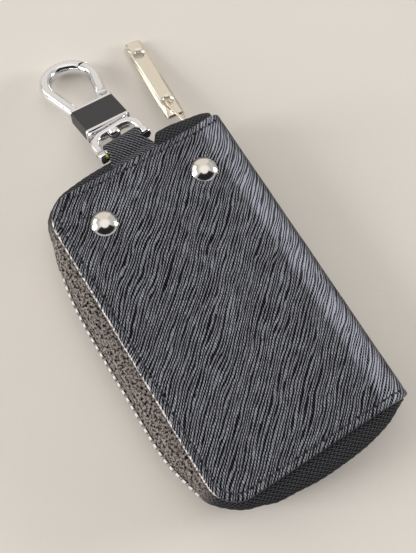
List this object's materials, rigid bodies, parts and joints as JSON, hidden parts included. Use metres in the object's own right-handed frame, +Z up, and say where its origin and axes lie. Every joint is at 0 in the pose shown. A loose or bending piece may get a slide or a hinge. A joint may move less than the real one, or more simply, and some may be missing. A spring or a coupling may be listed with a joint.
{
  "type": "zip-round key case",
  "caption": "Zip-round leather key case with a swivelling snap hook on a strap, a bar zip pull, and six swinging key hooks on a riveted rail inside.",
  "frame": {"origin": "Centre of the flat back face that the case rests on, at half the length and half the width of the leather.", "axes": "+X from the open edge towards the fold, +Y along the fold towards the snap hook, +Z up out of the front face."},
  "size_m": [0.0761, 0.1701, 0.0222],
  "materials": {
    "leather": "black cross-grain leather, low sheen",
    "board": "pressed fibre board",
    "lining": "black cloth",
    "tape": "black woven zip tape",
    "teeth": "nickel plated teeth",
    "nickel": "polished nickel",
    "pull": "polished warm nickel",
    "rivet": "polished nickel",
    "rail": "plated steel",
    "chrome": "polished chrome",
    "sleeve": "black",
    "spring": "spring steel"
  },
  "bodies": {
    "back_half": {"back_leather": "leather", "back_board": "board", "back_lining": "lining", "back_tape": "tape", "back_teeth_top": "teeth", "back_teeth_round": "teeth", "back_top_stop": "teeth", "bottom_stop": "teeth"},
    "front_half": {"front_leather": "leather", "front_board": "board", "front_lining": "lining", "front_tape": "tape", "front_teeth_top": "teeth", "front_teeth_round": "teeth", "front_teeth_foot": "teeth", "front_top_stop": "teeth", "rivet_caps": "rivet", "rivet_inner_caps": "rivet", "key_rail": "rail", "key_rod": "rail", "strap": "leather"},
    "slider_body": {"slider": "nickel"},
    "link_body": {"pull_link": "nickel"},
    "bar_body": {"pull_bar": "pull"},
    "key_1": {"key_hook_1": "rail"},
    "key_2": {"key_hook_2": "rail"},
    "key_3": {"key_hook_3": "rail"},
    "key_4": {"key_hook_4": "rail"},
    "key_5": {"key_hook_5": "rail"},
    "key_6": {"key_hook_6": "rail"},
    "shackle_body": {"shackle": "chrome", "shackle_pin": "chrome", "lock_screw": "chrome"},
    "hook": {"swivel_post": "chrome", "hook_body": "chrome", "grip_sleeve": "sleeve", "gate_pin": "chrome", "gate_spring": "spring"},
    "gate_body": {"gate": "chrome"}
  },
  "joints": [
    {"name": "case_open", "type": "hinge", "parent": "back_half", "child": "front_half", "pos_m": [0.0345, 0, 0.01], "axis": [0, 1, 0], "range_deg": [0, 170], "deforming": ["front_teeth_foot"]},
    {"name": "slider_slide", "type": "slide", "parent": "back_half", "child": "slider_body", "axis": [-1, 0, 0], "range_m": [0, 0.01], "deforming": ["back_teeth_top", "front_teeth_top"]},
    {"name": "link_swing", "type": "hinge", "parent": "slider_body", "child": "link_body", "pos_m": [0.025, 0.06195, 0.01], "axis": [1, 0, 0], "range_deg": [-36, 60]},
    {"name": "bar_swing", "type": "hinge", "parent": "link_body", "child": "bar_body", "pos_m": [0.02387, 0.07326, 0.00767], "axis": [0.0196, 0.2036, 0.9789], "range_deg": [-50, 18]},
    {"name": "shackle_swing", "type": "hinge", "parent": "front_half", "child": "shackle_body", "pos_m": [0.0001, 0.0629, 0.0162], "axis": [0.9976, 0.0698, 0], "range_deg": [-45, 110]},
    {"name": "hook_swivel", "type": "hinge", "parent": "shackle_body", "child": "hook", "pos_m": [-0.00049, 0.07132, 0.0137], "axis": [-0.0669, 0.9565, -0.284], "continuous": true},
    {"name": "gate_open", "type": "hinge", "parent": "hook", "child": "gate_body", "pos_m": [0.00451, 0.08538, 0.009], "axis": [0.0846, 0.2891, 0.9536], "range_deg": [0, 25], "stiffness_Nm_per_rad": 0.02, "springref_deg": -17.19},
    {"name": "key_1_swing", "type": "hinge", "parent": "front_half", "child": "key_1", "pos_m": [-0.021, 0.034, 0.0154], "axis": [1, 0, 0], "range_deg": [-40, 0]},
    {"name": "key_2_swing", "type": "hinge", "parent": "front_half", "child": "key_2", "pos_m": [-0.013, 0.034, 0.0154], "axis": [1, 0, 0], "range_deg": [-40, 0]},
    {"name": "key_3_swing", "type": "hinge", "parent": "front_half", "child": "key_3", "pos_m": [-0.005, 0.034, 0.0154], "axis": [1, 0, 0], "range_deg": [-40, 0]},
    {"name": "key_4_swing", "type": "hinge", "parent": "front_half", "child": "key_4", "pos_m": [0.003, 0.034, 0.0154], "axis": [1, 0, 0], "range_deg": [-40, 0]},
    {"name": "key_5_swing", "type": "hinge", "parent": "front_half", "child": "key_5", "pos_m": [0.011, 0.034, 0.0154], "axis": [1, 0, 0], "range_deg": [-40, 0]},
    {"name": "key_6_swing", "type": "hinge", "parent": "front_half", "child": "key_6", "pos_m": [0.019, 0.034, 0.0154], "axis": [1, 0, 0], "range_deg": [-40, 0]}
  ]
}
